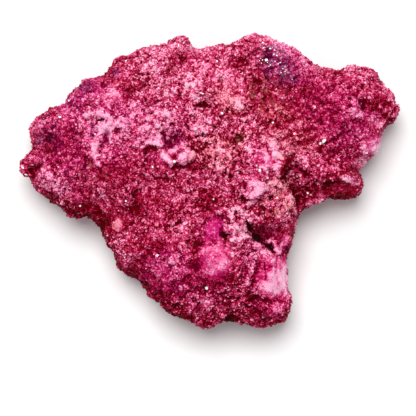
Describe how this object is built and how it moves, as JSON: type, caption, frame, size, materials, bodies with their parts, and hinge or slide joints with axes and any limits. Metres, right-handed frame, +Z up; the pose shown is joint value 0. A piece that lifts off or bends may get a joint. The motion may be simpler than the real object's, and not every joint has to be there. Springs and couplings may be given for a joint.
{
  "type": "ruby specimen",
  "caption": "Ruby-pink crystal druse: one irregular lumpy hand specimen with a sugary, sparkling face and a flat broken back that it lies on.",
  "frame": {"origin": "middle of the specimen's footprint box, on the surface that its broken back rests on", "axes": "+X along the long way of the specimen, from the narrow nub to the rounded lobe; +Y towards its broad humped edge, away from its narrow lower end; +Z up, out of the crystal face"},
  "size_m": [0.0854, 0.0668, 0.0255],
  "materials": {
    "ruby_druse": "sugary crystal crust, glittering, raspberry to pale pink"
  },
  "bodies": {
    "root": {"ruby_specimen": "ruby_druse"}
  },
  "joints": []
}
